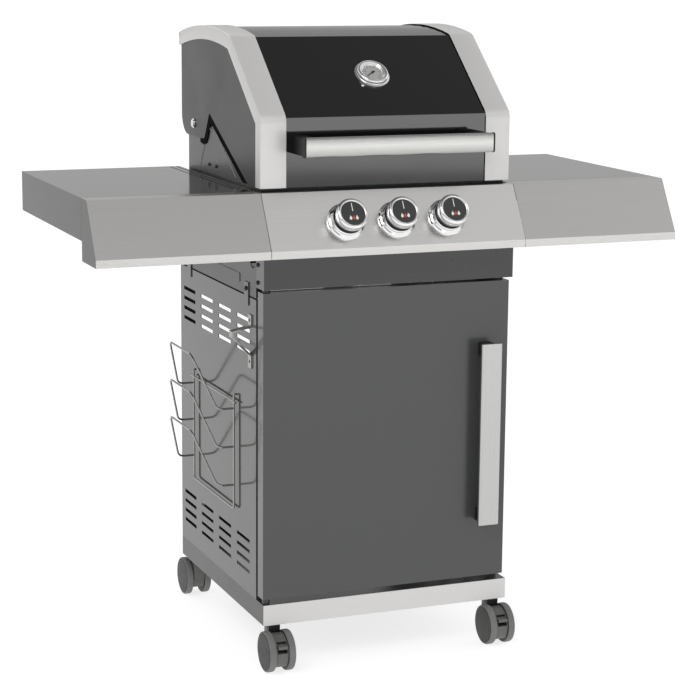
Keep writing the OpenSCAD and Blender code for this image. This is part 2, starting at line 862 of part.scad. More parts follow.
module thermometer_case() {
    cup = [[0, 0], [33, 0], [33, 1.5], [30, 2.5], [30, 6.5], [28.5, 9], [26, 10], [22, 10],
           [dial_r, 8], [dial_r, dial_z], [0, dial_z]];
    color(chrome) in_frame() on_slope() {
        rotate_extrude() polygon(cup);
        translate([0, 0, -probe_l]) cylinder(h = probe_l, r = probe_r);
        translate([0, 0, -sheet - nut_t]) cylinder(h = nut_t, r = 8, $fn = 6);
    }
}

module thermometer_dial() {
    color(white) in_frame() on_slope() translate([0, 0, dial_z]) cylinder(h = dial_t, r = dial_r);
}

module thermometer_pointer() {
    color(black) in_frame() on_slope() translate([0, 0, dial_z + dial_t + gap]) rotate([0, 0, needle_rest]) {
        cylinder(h = 1.2, r = 2.5);
        linear_extrude(0.8) polygon([[-1.2, -6], [1.2, -6], [0.4, 16], [-0.4, 16]]);
    }
}

// ---------------------------------------------------------------- drip tray

tray_top_z = table_z - 149.5;
tray_h = 22;
tray_half = half_cabinet - 24;
tray_y0 = 88;
tray_y1 = 440;
cup_y = 263;
cup_r = 35;

module drip_tray() {
    z0 = tray_top_z - tray_h;
    rim = 6;
    grip_half = 60;
    grip_y = tray_y1 + 22;
    color(stainless) in_frame() difference() {
        union() {
            box([-tray_half, tray_y0, z0], [tray_half, tray_y1, tray_top_z]);
            box([-tray_half - rim, tray_y0, tray_top_z - sheet], [tray_half + rim, tray_y1, tray_top_z]);
            box([-grip_half, tray_y1, tray_top_z - sheet], [grip_half, grip_y, tray_top_z]);
            box([-grip_half, grip_y - sheet, tray_top_z - 14], [grip_half, grip_y, tray_top_z]);
        }
        box([-tray_half + sheet, tray_y0 + sheet, z0 + sheet],
            [tray_half - sheet, tray_y1 - sheet, tray_top_z + through]);
        translate([0, cup_y, z0 - through]) cylinder(h = 4, r = cup_r + gap);
    }
}

module grease_cup() {
    z = tray_top_z - tray_h + sheet;
    cup = [[0, -48], [30, -48], [cup_r, 0], [cup_r + 5, 0], [cup_r + 5, 1], [cup_r - 1, 1],
           [29, -47], [0, -47]];
    color(stainless) in_frame() translate([0, cup_y, z]) rotate_extrude() polygon(cup);
}

// ---------------------------------------------------------------- knobs

module valve_stem(x) {
    color(brass) in_frame() on_panel(x) difference() {
        translate([0, 0, stem_bottom]) cylinder(h = stem_top - stem_bottom, r = stem_r);
        translate([stem_flat, -stem_r, valve_top + 2]) cube([stem_r, 2 * stem_r, stem_top - valve_top]);
    }
}

module valve_stem_left() valve_stem(-knob_pitch);
module valve_stem_middle() valve_stem(0);
module valve_stem_right() valve_stem(knob_pitch);

module knob(x) {
    r = knob_d / 2;
    face_z = knob_h - 1.4;
    profile = [
        [0, 6], [knob_skirt_r - 1.5, 6], [knob_skirt_r, 7.5], [knob_skirt_r, 25.5], [r - 1, 27],
        [r, 28], [r, knob_h - 5], [r - 2, knob_h - 1], [r - 4.5, knob_h], [r - 6.2, knob_h - 0.6],
        [r - 6.7, face_z], [0, face_z]
    ];
    color(black) in_frame() on_panel(x) {
        difference() {
            rotate_extrude() polygon(profile);
            difference() {
                translate([0, 0, 5]) cylinder(h = stem_top + 1, r = stem_r + running);
                translate([stem_flat + running, -10, 4]) cube([10, 20, knob_h]);
            }
        }
        translate([-0.8, 4, face_z - 0.5]) cube([1.6, 15, 1]);
    }
}

module knob_left() knob(-knob_pitch);
module knob_middle() knob(0);
module knob_right() knob(knob_pitch);

// ---------------------------------------------------------------- casters

brake_y = -21;
brake_z = 15;
brake_pin_r = 2;
brake_half = 9;

// A caster in its own frame: swivel axis at the origin, axle at y = -caster_trail.
module caster_housing(brake) {
    hood_r = 33;
    foot_z = 14;
    neck_half = 12;
    cut_half = housing_half + through;
    difference() {
        union() {
            difference() {
                translate([0, -caster_trail, wheel_r]) rod_x(-housing_half, housing_half, hood_r);
                box([-cut_half, -caster_trail - wheel_r, -through], [cut_half, wheel_r, foot_z]);
            }
            box([-housing_half, -neck_half, wheel_r], [housing_half, neck_half, base_z - gap]);
            cylinder(h = stem_pin_z, r = stem_pin_r);
        }
        box([-cut_half, -20, -through], [cut_half, 20, foot_z + 6]);
        translate([0, -caster_trail, wheel_r]) {
            rod_x(-cut_half, cut_half, axle_r + running);
            if (brake) {
                box([-brake_half - 0.5, -hood_r - 7, 4], [brake_half + 0.5, brake_y + 6.5, 24]);
                translate([0, brake_y, brake_z]) rod_x(-cut_half, cut_half, brake_pin_r + running);
            }
        }
    }
}

module wheel_pair() {
    face = wheel_gap + wheel_w;
    profile = [[0, 0], [wheel_r - 1, 0], [wheel_r, 1.5], [wheel_r, wheel_w - 3], [wheel_r - 3, wheel_w - 0.5],
               [wheel_r - 6, wheel_w], [0, wheel_w]];
    translate([0, -caster_trail, wheel_r]) {
        rod_x(-housing_half - face, housing_half + face, axle_r);
        both() translate([housing_half + wheel_gap, 0, 0]) rotate([0, 90, 0])
            rotate_extrude() polygon(profile);
    }
}

module brake_lever() {
    side = [[-15, -2], [-15, 3], [-2, 5], [4, 3], [4, -3], [-2, -5]];
    translate([0, -caster_trail + brake_y, wheel_r + brake_z]) {
        across(-brake_half, brake_half) polygon(side);
        rod_x(-housing_half, housing_half, brake_pin_r);
    }
}

module front_caster(side) translate([side * caster_x, caster_front_y, 0]) children();
module rear_caster(side) translate([side * caster_x, caster_rear_y, 0]) rotate([0, 0, 180]) children();

module caster_front_left() color(dark_grey) in_frame() front_caster(-1) caster_housing(true);
module caster_front_right() color(dark_grey) in_frame() front_caster(1) caster_housing(true);
module caster_rear_left() color(dark_grey) in_frame() rear_caster(-1) caster_housing(false);
module caster_rear_right() color(dark_grey) in_frame() rear_caster(1) caster_housing(false);
module wheels_front_left() color(dark_grey) in_frame() front_caster(-1) wheel_pair();
module wheels_front_right() color(dark_grey) in_frame() front_caster(1) wheel_pair();
module wheels_rear_left() color(dark_grey) in_frame() rear_caster(-1) wheel_pair();
module wheels_rear_right() color(dark_grey) in_frame() rear_caster(1) wheel_pair();
module brake_left() color(black) in_frame() front_caster(-1) brake_lever();
module brake_right() color(black) in_frame() front_caster(1) brake_lever();

// ---------------------------------------------------------------- nodes

base_tray();
base_front_trim();
side_panel_left();
side_panel_right();
rear_panel();
valance();
door_pivots();
door_catch();
firebox_end_left();
firebox_end_right();
firebox_shell();
control_panel();
knob_bezels();
gas_manifold();
gas_valves();
burners();
electrodes();
heat_tents();
cooking_grates();
warming_rack();
table_left();
table_right();
fascia_left();
fascia_right();
table_brackets();
wire_rack();
bottle_opener();
bolts();
lid_panel();
lid_end_left();
lid_end_right();
lid_trim_left();
lid_trim_right();
lid_handle_bar();
lid_handle_posts();
thermometer_case();
thermometer_dial();
thermometer_pointer();
door_skin();
door_liner();
door_handle_bar();
door_handle_posts();
drip_tray();
grease_cup();
valve_stem_left();
valve_stem_middle();
valve_stem_right();
knob_left();
knob_middle();
knob_right();
caster_front_left();
caster_front_right();
caster_rear_left();
caster_rear_right();
wheels_front_left();
wheels_front_right();
wheels_rear_left();
wheels_rear_right();
brake_left();
brake_right();
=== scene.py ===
import json
import math

import bmesh
import bpy
from mathutils import Matrix, Vector


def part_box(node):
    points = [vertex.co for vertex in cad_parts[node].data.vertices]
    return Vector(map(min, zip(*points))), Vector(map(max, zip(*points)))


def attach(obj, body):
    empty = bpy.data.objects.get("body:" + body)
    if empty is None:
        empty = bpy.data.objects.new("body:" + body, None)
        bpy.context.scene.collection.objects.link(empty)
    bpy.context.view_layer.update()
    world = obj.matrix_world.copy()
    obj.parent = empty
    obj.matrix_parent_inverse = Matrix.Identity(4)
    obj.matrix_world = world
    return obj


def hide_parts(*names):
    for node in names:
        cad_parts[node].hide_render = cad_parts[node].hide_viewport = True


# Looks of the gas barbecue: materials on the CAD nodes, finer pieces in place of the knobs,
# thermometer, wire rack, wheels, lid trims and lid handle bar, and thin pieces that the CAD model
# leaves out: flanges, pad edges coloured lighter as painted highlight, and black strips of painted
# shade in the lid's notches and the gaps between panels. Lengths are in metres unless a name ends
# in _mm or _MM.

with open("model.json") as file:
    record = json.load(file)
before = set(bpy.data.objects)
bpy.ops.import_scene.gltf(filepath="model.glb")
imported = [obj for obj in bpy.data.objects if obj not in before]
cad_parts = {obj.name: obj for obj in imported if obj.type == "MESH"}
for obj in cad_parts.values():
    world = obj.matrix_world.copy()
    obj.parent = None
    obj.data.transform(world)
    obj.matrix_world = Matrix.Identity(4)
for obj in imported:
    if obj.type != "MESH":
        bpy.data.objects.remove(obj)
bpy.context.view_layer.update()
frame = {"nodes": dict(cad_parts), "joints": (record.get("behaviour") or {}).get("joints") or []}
nodes = frame["nodes"]
DOOR_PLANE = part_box("base_front_trim")[0].y

KNOBS = ("left", "middle", "right")
SIDES = {"left": -1, "right": 1}
WHEEL_PLACES = ("front_left", "front_right", "rear_left", "rear_right")


# ---------------------------------------------------------------- materials

class Shader:
    """A Principled material with helpers for procedural detail."""

    def __init__(self, name, colour, roughness, metallic=0.0, **sockets):
        self.material = bpy.data.materials.new(name)
        self.material.use_nodes = True
        self.tree = self.material.node_tree
        self.surface = self.tree.nodes["Principled BSDF"]
        self.colour = colour
        self.set("Base Color", (*colour, 1.0))
        self.set("Roughness", roughness)
        self.set("Metallic", metallic)
        for socket, value in sockets.items():
            self.set(socket.replace("_", " "), value)

    def set(self, socket, value):
        self.surface.inputs[socket].default_value = value

    def link(self, source, target):
        self.tree.links.new(source, target)

    def noise(self, scale, stretch=(1.0, 1.0, 1.0), detail=3.0):
        """Noise in object space, with `scale` cells a metre times `stretch` along each axis."""
        place = self.tree.nodes.new("ShaderNodeTexCoord")
        mapping = self.tree.nodes.new("ShaderNodeMapping")
        mapping.inputs["Scale"].default_value = stretch
        texture = self.tree.nodes.new("ShaderNodeTexNoise")
        texture.inputs["Scale"].default_value = scale
        texture.inputs["Detail"].default_value = detail
        self.link(place.outputs["Object"], mapping.inputs["Vector"])
        self.link(mapping.outputs["Vector"], texture.inputs["Vector"])
        return texture.outputs["Fac"]

    def spread(self, factor, low, high):
        """A noise factor turned into numbers from low to high."""
        node = self.tree.nodes.new("ShaderNodeMapRange")
        node.clamp = False
        node.inputs["From Min"].default_value = 0.2
        node.inputs["From Max"].default_value = 0.8
        node.inputs["To Min"].default_value = low
        node.inputs["To Max"].default_value = high
        self.link(factor, node.inputs["Value"])
        return node.outputs["Result"]

    def vary_roughness(self, factor, low, high):
        self.link(self.spread(factor, low, high), self.surface.inputs["Roughness"])
        return self

    def vary_colour(self, factor, amount):
        """Colour from `amount` darker to `amount` lighter than the base."""
        node = self.tree.nodes.new("ShaderNodeMix")
        node.data_type = "RGBA"
        node.inputs["A"].default_value = (*[c * (1 - amount) for c in self.colour], 1.0)
        node.inputs["B"].default_value = (*[min(1, c * (1 + amount)) for c in self.colour], 1.0)
        self.link(self.spread(factor, 0.0, 1.0), node.inputs["Factor"])
        self.link(node.outputs["Result"], self.surface.inputs["Base Color"])
        return self

    def bump(self, factor, height, strength=1.0):
        """Relief of the given height in metres."""
        node = self.tree.nodes.new("ShaderNodeBump")
        node.inputs["Distance"].default_value = height
        node.inputs["Strength"].default_value = strength
        self.link(factor, node.inputs["Height"])
        self.link(node.outputs["Normal"], self.surface.inputs["Normal"])
        return self


def brushed(name, colour, grain, roughness, relief=0.000004, edge=1.0):
    """Brushed metal. grain is the axis, 0 to 2, that the brush marks run along, and edge is how
    bright it looks at a grazing angle."""
    stretch = [1.0, 1.0, 1.0]
    stretch[grain] = 0.008
    shader = Shader(name, colour, roughness, metallic=1.0, Specular_Tint=(edge, edge, edge, 1.0))
    marks = shader.noise(1500, stretch, detail=3)
    shader.vary_roughness(marks, roughness - 0.03, roughness + 0.04)
    shader.vary_colour(shader.noise(900, stretch, detail=2), 0.035)
    shader.bump(marks, relief, 0.25)
    return shader.material


def enamel(name, colour, roughness, coat=0.0, speckle=0.00002, metallic=0.0, shine=0.5):
    """Sprayed or fired paint with a faint orange-peel surface."""
    shader = Shader(name, colour, roughness, metallic, Coat_Weight=coat, Coat_Roughness=0.04,
                    Specular_IOR_Level=shine)
    shader.vary_roughness(shader.noise(9, detail=3), roughness * 0.85, roughness * 1.2)
    shader.vary_colour(shader.noise(500, detail=2), 0.03)
    shader.bump(shader.noise(260, detail=2), speckle, 0.25)
    return shader.material


def plastic(name, colour, roughness, grain=0.00006, shine=0.5):
    """Moulded plastic or rubber with a fine grain."""
    shader = Shader(name, colour, roughness, Specular_IOR_Level=shine)
    shader.vary_colour(shader.noise(40, detail=3), 0.12)
    shader.vary_roughness(shader.noise(120, detail=2), roughness - 0.06, roughness + 0.06)
    shader.bump(shader.noise(1400, detail=2), grain, 0.35)
    return shader.material


def polished(name, colour, roughness):
    """Bright plated metal with faint cloudiness."""
    shader = Shader(name, colour, roughness, metallic=1.0)
    shader.vary_roughness(shader.noise(60, detail=4), roughness * 0.6, roughness * 1.6)
    shader.vary_colour(shader.noise(25, detail=2), 0.03)
    return shader.material


def rough_metal(name, colour, roughness, relief):
    """Cast or heat-stained metal."""
    shader = Shader(name, colour, roughness, metallic=0.6)
    shader.vary_colour(shader.noise(35, detail=6), 0.3)
    shader.vary_roughness(shader.noise(90, detail=4), roughness - 0.1, roughness + 0.1)
    shader.bump(shader.noise(600, detail=5), relief, 0.6)
    return shader.material


steel_panel = brushed("steel_control_panel", (0.67, 0.662, 0.652), 0, 0.30)
# The fascias' steel; on the control panel's front lip it is a darker copy of the panel steel as painted
# shade
steel_fascia_and_lip_shade = brushed("steel_fascias_and_lip_shade", (0.52, 0.512, 0.50), 0, 0.30)
steel_bar = brushed("steel_lid_bar", (0.41, 0.408, 0.397), 0, 0.24)
steel_upright = brushed("steel_brushed_along_z", (0.50, 0.497, 0.49), 2, 0.28)
steel_top = brushed("steel_table_top", (0.27, 0.267, 0.26), 0, 0.11, relief=0.000002)
# A darker copy of the table steel for the left end faces: painted shade
steel_end_painted_shade = brushed("steel_apron_painted_shade", (0.11, 0.11, 0.108), 1, 0.20, relief=0.000002,
                          edge=0.75)
steel_inner = brushed("steel_inside", (0.45, 0.44, 0.42), 1, 0.35)
silver_paint = enamel("silver_paint", (0.64, 0.632, 0.624), 0.34, speckle=0.000006, metallic=0.2)
cabinet_paint = enamel("cabinet_paint", (0.062, 0.062, 0.060), 0.10, speckle=0.000003)
end_paint = enamel("end_plate_paint", (0.042, 0.041, 0.040), 0.26, speckle=0.000004, shine=0.35)
lid_end_paint = enamel("lid_end_paint", (0.032, 0.031, 0.030), 0.30, speckle=0.000004, shine=0.22)
dark_grey_paint = enamel("dark_grey_paint", (0.032, 0.032, 0.032), 0.26, coat=0.2)
# Lighter than the end plates' paint: painted highlight on the pad's pressed edge
pad_edge_highlight_paint = enamel("pressed_edge_painted_highlight", (0.26, 0.26, 0.25), 0.3)
door_paint = enamel("door_paint", (0.055, 0.056, 0.057), 0.22, coat=0.2, speckle=0.000003)
black_enamel = enamel("black_enamel", (0.006, 0.006, 0.006), 0.08, coat=0.15, speckle=0.000003)
lid_top_enamel = enamel("lid_top_enamel", (0.006, 0.006, 0.006), 0.10, speckle=0.000003, shine=0.3)
inner_enamel = rough_metal("firebox_enamel", (0.02, 0.02, 0.021), 0.5, 0.00008)
iron = rough_metal("cast_iron", (0.025, 0.024, 0.023), 0.6, 0.0002)
tent_steel = rough_metal("heat_stained_steel", (0.30, 0.27, 0.23), 0.45, 0.00005)
chrome = polished("chrome", (0.80, 0.80, 0.80), 0.07)
black_screw = polished("black_screw", (0.03, 0.03, 0.03), 0.3)
brass = polished("brass", (0.62, 0.43, 0.16), 0.28)
black_plastic = plastic("black_plastic", (0.008, 0.008, 0.008), 0.42, shine=0.3)
knob_plastic = plastic("knob_plastic", (0.028, 0.031, 0.030), 0.34, grain=0.00002)
# Near-black for the strips and faces that stand in for shadow gaps: painted shade
shade_black = plastic("painted_shade_black", (0.002, 0.002, 0.002), 0.8, shine=0.05)
wire_steel = polished("wire_steel", (0.30, 0.30, 0.29), 0.16)
caster_plastic = plastic("caster_plastic", (0.11, 0.11, 0.107), 0.42)
wheel_plastic = plastic("wheel_plastic", (0.016, 0.016, 0.015), 0.5)
tread_plastic = plastic("tread_plastic", (0.17, 0.17, 0.165), 0.75, grain=0.0008)
ceramic = enamel("ceramic", (0.75, 0.73, 0.68), 0.25, coat=0.5)
dial_paint = enamel("dial_paint", (0.50, 0.50, 0.48), 0.35, metallic=0.3)
mark_white = enamel("mark_white", (0.80, 0.80, 0.78), 0.4)
mark_dark = enamel("mark_dark", (0.02, 0.02, 0.02), 0.4)
mark_red = enamel("mark_red", (0.55, 0.05, 0.03), 0.4)

NODE_MATERIALS = {
    steel_panel: ("control_panel",),
    steel_fascia_and_lip_shade: ("fascia_left", "fascia_right"),
    steel_top: ("table_left", "table_right"),
    steel_upright: ("door_handle_bar",),
    steel_inner: ("drip_tray", "grease_cup", "gas_manifold", "burners"),
    tent_steel: ("heat_tents",),
    silver_paint: ("base_front_trim",),
    cabinet_paint: ("side_panel_left", "side_panel_right", "rear_panel"),
    end_paint: ("base_tray", "firebox_end_left", "firebox_end_right"),
    lid_end_paint: ("lid_end_left", "lid_end_right"),
    dark_grey_paint: ("valance", "table_brackets", "door_pivots"),
    door_paint: ("door_skin", "door_liner"),
    black_enamel: ("lid_panel",),
    inner_enamel: ("firebox_shell",),
    iron: ("cooking_grates",),
    black_plastic: ("door_catch", "lid_handle_posts", "door_handle_posts"),
    caster_plastic: ("brake_left", "brake_right", *("caster_" + place for place in WHEEL_PLACES)),
    chrome: ("knob_bezels",),
    wire_steel: ("warming_rack", "bottle_opener"),
    black_screw: ("bolts",),
    brass: ("gas_valves", *("valve_stem_" + knob for knob in KNOBS)),
    ceramic: ("electrodes",),
    mark_dark: ("thermometer_pointer",),
}


# ---------------------------------------------------------------- the CAD nodes

POST_ROUND = 0.0015
BRAKE_ROUND = 0.0008


def weld_and_soften(node, width):
    """Joins the CAD faces of a node and rounds its edges by `width`."""
    weld = node.modifiers.new("weld", "WELD")
    weld.merge_threshold = 0.00001
    bevel = node.modifiers.new("bevel", "BEVEL")
    bevel.width = width
    bevel.segments = 2
    bevel.limit_method = "ANGLE"
    bevel.angle_limit = math.radians(30)
    bevel.harden_normals = True


def dress_nodes():
    for material, names in NODE_MATERIALS.items():
        for name in names:
            data = nodes[name].data
            data.materials.clear()
            data.materials.append(material)
    for name in ("lid_handle_posts", "door_handle_posts"):
        weld_and_soften(nodes[name], POST_ROUND)
    for name in ("brake_left", "brake_right"):
        weld_and_soften(nodes[name], BRAKE_ROUND)


def paint_faces(name, material, wanted):
    """Gives another material to the faces of a CAD node that wanted(centre, normal) picks."""
    node = nodes[name]
    data = node.data
    index = len(data.materials)
    data.materials.append(material)
    turn = node.matrix_world.to_3x3()
    for polygon in data.polygons:
        if wanted(node.matrix_world @ polygon.center, turn @ polygon.normal):
            polygon.material_index = index


# How squarely a face must point one way to be picked
FACING = 0.9
PIVOT_BOLT_REACH = 0.012
CASTER_NECK_Z = 0.072


def paint_details():
    """Materials of single faces: darker steel as painted shade on the left table's end and the panel lip,
    and the lid top, lid pivots, caster necks.
    """
    # The -x faces of the left table and fascia take a darker copy of the steel: painted shade
    for name in ("table_left", "fascia_left"):
        paint_faces(name, steel_end_painted_shade, lambda centre, normal: normal.x < -FACING)
    # The control panel's front-facing lip takes the darker fascia steel: painted shade
    paint_faces("control_panel", steel_fascia_and_lip_shade, lambda centre, normal: normal.y < -FACING)
    paint_faces("lid_panel", lid_top_enamel, lambda centre, normal: normal.z > FACING)
    pivot_z = joint("lid_hinge")["pos_m"][2]
    paint_faces("bolts", chrome, lambda centre, normal: abs(centre.z - pivot_z) < PIVOT_BOLT_REACH)
    for place in WHEEL_PLACES:
        paint_faces("caster_" + place, black_plastic,
                    lambda centre, normal: centre.z > CASTER_NECK_Z)


# ---------------------------------------------------------------- helpers for new pieces

def new_piece(name, mesh, materials, body):
    """A piece in the row frame that rides on a body."""
    piece = bpy.data.objects.new(name, mesh)
    for material in materials:
        mesh.materials.append(material)
    bpy.context.scene.collection.objects.link(piece)
    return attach(piece, body)


def bisected_corner(points, i, radius, steps=5):
    """Points of the rounded corner at points[i] of an open polyline."""
    here = points[i]
    back = points[i - 1] - here
    ahead = points[i + 1] - here
    cut = min(radius, back.length * 0.45, ahead.length * 0.45)
    start = here + back.normalized() * cut
    end = here + ahead.normalized() * cut
    curve = []
    for k in range(steps + 1):
        t = k / steps
        curve.append(start * (1 - t) ** 2 + here * 2 * t * (1 - t) + end * t * t)
    return curve


def rounded_path(points, radius):
    points = [Vector(p) for p in points]
    path = [points[0]]
    for i in range(1, len(points) - 1):
        path += bisected_corner(points, i, radius)
    return path + [points[-1]]


def add_tube(bm, points, radius, bend, around=12):
    """A round wire along a polyline whose corners are rounded, with closed ends."""
    path = rounded_path(points, bend)
    tangents = []
    for i in range(len(path)):
        before = path[max(i - 1, 0)]
        after = path[min(i + 1, len(path) - 1)]
        tangents.append((after - before).normalized())
    side = tangents[0].orthogonal().normalized()
    rings = []
    for point, tangent in zip(path, tangents):
        side = (side - tangent * side.dot(tangent)).normalized()
        up = tangent.cross(side)
        ring = []
        for k in range(around):
            a = 2 * math.pi * k / around
            ring.append(bm.verts.new(point + radius * (math.cos(a) * side + math.sin(a) * up)))
        rings.append(ring)
    for one, two in zip(rings, rings[1:]):
        for k in range(around):
            n = (k + 1) % around
            bm.faces.new((one[k], one[n], two[n], two[k])).smooth = True
    bm.faces.new(reversed(rings[0]))
    bm.faces.new(rings[-1])


def add_lathe(bm, profile, place, material_of=None, around=64):
    """Turns an (r, z) profile about local +Z; `place` is the 4x4 matrix of the local frame."""
    rings = []
    for r, z in profile:
        if r < 1e-7:
            rings.append([bm.verts.new(place @ Vector((0, 0, z)))])
            continue
        angles = [2 * math.pi * k / around for k in range(around)]
        rings.append([bm.verts.new(place @ Vector((r * math.cos(a), r * math.sin(a), z))) for a in angles])
    for i, (one, two) in enumerate(zip(rings, rings[1:])):
        for k in range(around):
            n = (k + 1) % around
            corners = [one[k % len(one)], one[n % len(one)], two[n % len(two)], two[k % len(two)]]
            corners = list(dict.fromkeys(corners))
            face = bm.faces.new(corners)
            face.smooth = True
            face.material_index = material_of[i] if material_of else 0


def add_slab(bm, outline, z0, z1, place, material_index=0):
    """A flat shape between two local heights. The outline is a list of (x, y)."""
    low = [bm.verts.new(place @ Vector((x, y, z0))) for x, y in outline]
    high = [bm.verts.new(place @ Vector((x, y, z1))) for x, y in outline]
    faces = [bm.faces.new(reversed(low)), bm.faces.new(high)]
    for k in range(len(outline)):
        n = (k + 1) % len(outline)
        faces.append(bm.faces.new((low[k], low[n], high[n], high[k])))
    for face in faces:
        face.material_index = material_index


def finished(bm, name):
    """The bmesh as a mesh, with every closed shell facing outwards."""
    bmesh.ops.recalc_face_normals(bm, faces=bm.faces)
    mesh = bpy.data.meshes.new(name)
    bm.to_mesh(mesh)
    bm.free()
    return mesh


def sharp_above(piece, degrees):
    """Edges steeper than this look sharp."""
    piece.data.shade_smooth()
    piece.data.set_sharp_from_angle(angle=math.radians(degrees))


def mm(values):
    return [(r / 1000, z / 1000) for r, z in values]


def at(x_mm, back_mm, z_mm):
    """A point from millimetres: across, behind the door's front plane, and above the floor."""
    return Vector((x_mm / 1000, DOOR_PLANE + back_mm / 1000, z_mm / 1000))


def joint(name):
    return next(j for j in frame["joints"] if j["name"] == name)


def joint_place(name):
    """A local frame at the joint with +Z along its axis, +X level and to the right."""
    turn = joint(name)
    z = Vector(turn["axis"]).normalized()
    x = Vector((0, 0, 1)).cross(z).normalized()
    y = z.cross(x)
    place = Matrix((x, y, z)).transposed().to_4x4()
    place.translation = Vector(turn["pos_m"])
    return place


def side_place(side):
    """A local frame whose X is back from the door's plane, Y up and Z out to that side."""
    out = Vector((SIDES[side], 0, 0))
    place = Matrix((Vector((0, 1, 0)), Vector((0, 0, 1)), out)).transposed().to_4x4()
    place.translation = Vector((0, DOOR_PLANE, 0))
    return place


# ---------------------------------------------------------------- knobs

# Radius and height along the stem. The knob has no bore, so its valve stem runs into it.
KNOB_SKIRT_MM = [(0, 6.2), (24, 6.2), (25, 7.2), (25, 25.4), (27.6, 26.6)]
KNOB_RING_MM = [
    (28.6, 27.0), (29, 28), (29, 36.5), (28.7, 38.4), (27.9, 40.0), (26.6, 41.2), (25.2, 41.8),
    (24.0, 41.9), (23.1, 41.5), (22.5, 40.9), (22.3, 40.4),
]
KNOB_FACE_MM = [(12, 40.7), (0, 40.8)]
KNOB_MARK_Z = (0.0402, 0.0410)
POINTER_MM = [(-0.7, 4), (0.7, 4), (0.7, 19), (-0.7, 19)]
FLAME_MM = [
    (0, 4.6), (1.2, 2.4), (2.4, 0.6), (2.6, -1.4), (1.7, -3.3), (0, -4.1), (-1.7, -3.3),
    (-2.6, -1.4), (-1.9, 0.4), (-1.0, 1.8),
]
FLAME_PITCH = 0.006
FLAME_DROP = 0.0085


def build_knob(knob):
    place = joint_place("knob_turn_" + knob)
    bm = bmesh.new()
    plastic_part, chrome_part, white_part, red_part = range(4)
    material_of = [plastic_part] * (len(KNOB_SKIRT_MM) - 1)
    material_of += [chrome_part] * len(KNOB_RING_MM)
    material_of += [plastic_part] * len(KNOB_FACE_MM)
    add_lathe(bm, mm(KNOB_SKIRT_MM + KNOB_RING_MM + KNOB_FACE_MM), place, material_of)
    low, high = KNOB_MARK_Z
    add_slab(bm, mm(POINTER_MM), low, high, place, white_part)
    for across, part in ((-FLAME_PITCH, white_part), (0, red_part), (FLAME_PITCH, white_part)):
        shifted = place @ Matrix.Translation((across, -FLAME_DROP, 0))
        add_slab(bm, mm(FLAME_MM), low, high, shifted, part)
    name = "knob_look_" + knob
    materials = [knob_plastic, chrome, mark_white, mark_red]
    piece = new_piece(name, finished(bm, name), materials, "knob_" + knob)
    sharp_above(piece, 40)
    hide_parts("knob_" + knob)


# ---------------------------------------------------------------- wheels

def build_wheels(place_name):
    low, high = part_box("wheels_" + place_name)
    centre = (low + high) / 2
    radius = (high.z - low.z) / 2
    half = (high.x - low.x) / 2
    wheel_width = 0.014
    inner = half - wheel_width
    disc = [
        (0.0, inner), (radius - 0.0025, inner), (radius - 0.0006, inner + 0.0008),
        (radius, inner + 0.0025), (radius, inner + 0.0105), (radius - 0.0008, inner + 0.0122),
        (radius - 0.0025, inner + 0.0131), (radius - 0.0032, inner + 0.0126),
        (radius - 0.0040, inner + 0.0126), (radius - 0.0046, inner + 0.0134),
        (radius - 0.012, inner + 0.0138), (0.0, half),
    ]
    material_of = [0, 1, 1, 1, 1, 1, 1, 0, 0, 0, 0]
    bm = bmesh.new()
    for way in (-1, 1):
        place = Matrix.Translation(centre) @ Matrix.Rotation(way * math.pi / 2, 4, "Y")
        add_lathe(bm, disc, place, material_of)
    axle_r = 0.003
    axle_end = inner + 0.0005
    axle = [(0.0, -axle_end), (axle_r, -axle_end), (axle_r, axle_end), (0.0, axle_end)]
    add_lathe(bm, axle, Matrix.Translation(centre) @ Matrix.Rotation(math.pi / 2, 4, "Y"), around=24)
    name = "wheels_look_" + place_name
    piece = new_piece(name, finished(bm, name), [wheel_plastic, tread_plastic], "wheels_" + place_name)
    sharp_above(piece, 35)
    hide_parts("wheels_" + place_name)


# ---------------------------------------------------------------- wire rack

def build_wire_rack():
    low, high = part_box("wire_rack")
    wire_r = 0.002
    frame_bend = 0.008
    loop_bend = 0.012
    stand_off = 0.006
    frame_height = 0.2185
    front_inset = 0.010
    back_inset = 0.014
    cross_drop = 0.014
    loop_height = 0.046
    loop_pitch = 0.073
    loop_rise = 0.096
    loop_half = 0.065
    reach = 0.032
    wall_x = high.x
    frame_x = wall_x - stand_off
    out_x = low.x + wire_r
    y0 = low.y + front_inset
    y1 = high.y - back_inset
    mid = (y0 + y1) / 2
    bottom = low.z + wire_r
    top = bottom + frame_height
    cross_z = top - cross_drop
    bm = bmesh.new()
    add_tube(bm, [(wall_x, y0, top), (frame_x, y0, top), (frame_x, y0, bottom),
                  (frame_x, y1, bottom), (frame_x, y1, top), (wall_x, y1, top)], wire_r, frame_bend)
    add_tube(bm, [(frame_x, low.y, cross_z), (frame_x, high.y, cross_z)], wire_r, frame_bend)
    for i in range(3):
        z = bottom + loop_height + i * loop_pitch
        high_z = z + loop_rise
        add_tube(bm, [(frame_x, y0, z), (frame_x - reach, y0, z), (out_x, mid - loop_half, high_z),
                      (out_x, mid + loop_half, high_z), (frame_x - reach, y1, z), (frame_x, y1, z)],
                 wire_r, loop_bend)
    piece = new_piece("wire_rack_look", finished(bm, "wire_rack_look"), [wire_steel], "grill_frame")
    sharp_above(piece, 60)
    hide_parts("wire_rack")


# ---------------------------------------------------------------- thermometer

